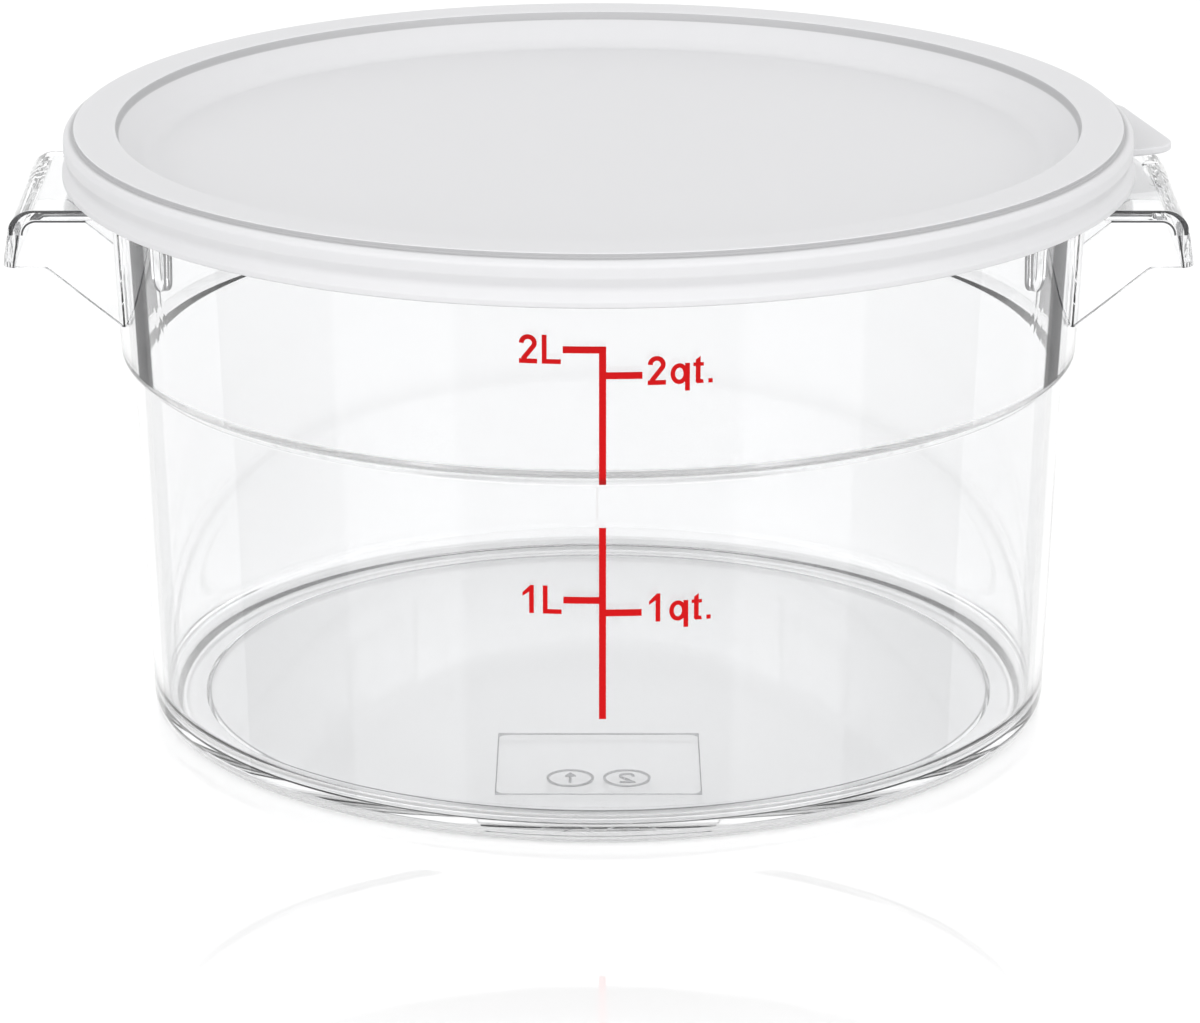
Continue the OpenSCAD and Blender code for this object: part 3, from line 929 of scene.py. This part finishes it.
def lid_outline(s):
    skirt_r = s.foot_r - s.spread
    inner_r = skirt_r - s.skirt
    ring_r = skirt_r - s.shoulder_w
    shoulder_z = s.top_z - s.shoulder_h
    face = [
        Vector((0, s.top_z - s.recess_h)),
        Vector((s.recess_r - s.cove_w, s.top_z - s.recess_h)),
        Vector((s.recess_r - 0.4 * MM, s.top_z - s.steep_h)),
        Vector((s.recess_r, s.top_z)),
        Vector((ring_r, s.top_z)),
    ]
    top = [(p.x, p.y, r * MM) for p, r in zip(face, (0, 6, 0.8, 0.5, 0.25))]
    side = [
        (ring_r, shoulder_z, 0.4 * MM),
        (skirt_r, shoulder_z, 0.7 * s.shoulder_w),
        (skirt_r, s.waist_z + s.waist_h, 1.6 * MM),
        (skirt_r - s.waist_w, s.waist_z, 1.6 * MM),
        (s.foot_r, s.waist_z - s.waist_h, 0.8 * MM),
        (s.foot_r, s.foot_z, 0.4 * MM),
        (inner_r + s.lead, s.foot_z, 0.4 * MM),
        (inner_r, s.top_z - s.wall, 0.8 * MM),
    ]
    under = [(p.x, p.y, r * MM) for p, r in zip(beside(face, -s.wall)[:4], (0, 7, 0.8, 0.4))]
    return rounded(top + side + under[::-1])


def lid_bead(s, facets):
    inner_r = s.foot_r - s.spread - s.skirt
    root_r = inner_r + s.skirt / 2 - s.waist_w / 4
    half = 1.2 * MM
    points = [
        (inner_r - s.bead_h, s.waist_z, 0.4 * MM),
        (root_r, s.waist_z - half, 0),
        (root_r, s.waist_z + half, 0),
    ]
    return lathe("lid_bead", rounded(points), facets)


def pull_tab(s, facets):
    half = s.tab_w / 2
    root_r = s.foot_r - s.skirt / 2
    inner = root_r - s.tab_w / 10
    low = s.foot_z + s.tab_rise
    narrow = half - 2 * MM
    plan = [
        (inner, -half, 0),
        (s.tab_out, -narrow, s.tab_r),
        (s.tab_out, narrow, s.tab_r),
        (inner, half, 0),
    ]
    tab = soften_edges(prism("pull_tab", rounded(plan), low, low + s.tab_h), 0.3 * MM)
    under, over = low - MM, low + 3 * MM
    core = [(0, under), (root_r, under), (root_r, over), (0, over)]
    combine(tab, lathe("core", [Vector(p) for p in core], facets), "DIFFERENCE")
    return turned(tab, s.tab_turn)


class SCENE_OT_snap_lid(bpy.types.Operator):
    """Add the white lid with its sunk middle, skirt, bead and pull tab"""

    bl_idname = "scene.snap_lid"
    bl_label = "Snap lid"

    def execute(self, context):
        s = context.scene.lid_sizes
        facets = context.scene.container_sizes.facets
        piece = lathe("snap_lid", lid_outline(s), facets)
        combine(piece, lid_bead(s, facets), "UNION")
        combine(piece, pull_tab(s, facets), "UNION")
        smooth(piece)
        dress(piece, white_plastic(context.scene.finishes, s))
        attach(piece, "lid_body")
        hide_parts("lid")
        return {"FINISHED"}


# Printed scale


class SCENE_OT_printed_scale(bpy.types.Operator):
    """Give the printed lines and figures their ink"""

    bl_idname = "scene.printed_scale"
    bl_label = "Printed scale"

    def execute(self, context):
        ink = red_ink(context.scene.finishes)
        for name in INK_NODES:
            dress(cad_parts[name], ink)
        return {"FINISHED"}


# Studio


class SCENE_OT_studio(bpy.types.Operator):
    """Add the floor, the lights and the camera"""

    bl_idname = "scene.studio"
    bl_label = "Studio"

    def execute(self, context):
        context.scene.world = studio_sky(context.scene.lighting)
        self.floor(context)
        self.fill(context)
        self.camera(context)
        context.scene.view_settings.view_transform = "Standard"
        context.scene.cycles.max_bounces = BOUNCES
        context.scene.cycles.transmission_bounces = BOUNCES
        context.scene.cycles.glossy_bounces = BOUNCES
        return {"FINISHED"}

    def floor(self, context):
        corners = [(-1, -1), (1, -1), (1, 1), (-1, 1)]
        plan = [Vector(p) * TABLE_HALF for p in corners]
        floor = prism("studio_floor", plan, -TABLE_THICK, -TABLE_GAP)
        floor.visible_glossy = False
        dress(floor, studio_floor(context.scene.finishes))

    def fill(self, context):
        """A soft light under the lid, which brightens the table inside the container."""
        light = context.scene.lighting
        data = bpy.data.lights.new("fill", "AREA")
        data.shape = "DISK"
        data.size = light.fill_d
        data.energy = light.fill
        fill = bpy.data.objects.new("fill", data)
        fill.location.z = light.fill_z
        fill.visible_camera = False
        fill.visible_glossy = False
        fill.visible_transmission = False
        context.scene.collection.objects.link(fill)

    def camera(self, context):
        place = context.scene.camera_place
        data = bpy.data.cameras.new("camera")
        data.sensor_width = 36
        data.sensor_fit = "HORIZONTAL"
        data.lens = place.lens
        data.shift_x = place.shift
        data.clip_start = 50 * MM
        camera = bpy.data.objects.new("camera", data)
        camera.location = (0, -place.distance, place.height)
        camera.rotation_euler = (math.pi / 2 - place.pitch, 0, 0)
        context.scene.collection.objects.link(camera)
        context.scene.camera = camera


class VIEW3D_PT_container(bpy.types.Panel):
    """The steps that build the container"""

    bl_label = "Dough proofing container"
    bl_space_type = "VIEW_3D"
    bl_region_type = "UI"
    bl_category = "Container"

    def draw(self, context):
        for step in STEPS:
            self.layout.operator(step.bl_idname)


STEPS = (SCENE_OT_studio, SCENE_OT_clear_container, SCENE_OT_snap_lid, SCENE_OT_printed_scale)
GROUPS = {
    "container_sizes": ContainerSizes,
    "handle_sizes": HandleSizes,
    "lug_sizes": LugSizes,
    "mark_sizes": MarkSizes,
    "lid_sizes": LidSizes,
    "finishes": Finishes,
    "lighting": Lighting,
    "camera_place": CameraPlace,
}


def register():
    for group in GROUPS.values():
        bpy.utils.register_class(group)
    for name, group in GROUPS.items():
        setattr(bpy.types.Scene, name, PointerProperty(type=group))
    for step in STEPS:
        bpy.utils.register_class(step)
    bpy.utils.register_class(VIEW3D_PT_container)


def unregister():
    bpy.utils.unregister_class(VIEW3D_PT_container)
    for step in reversed(STEPS):
        bpy.utils.unregister_class(step)
    for name, group in GROUPS.items():
        delattr(bpy.types.Scene, name)
        bpy.utils.unregister_class(group)


def main():
    register()
    bpy.ops.scene.studio()
    bpy.ops.scene.clear_container()
    bpy.ops.scene.snap_lid()
    bpy.ops.scene.printed_scale()


if __name__ == "__main__":
    main()
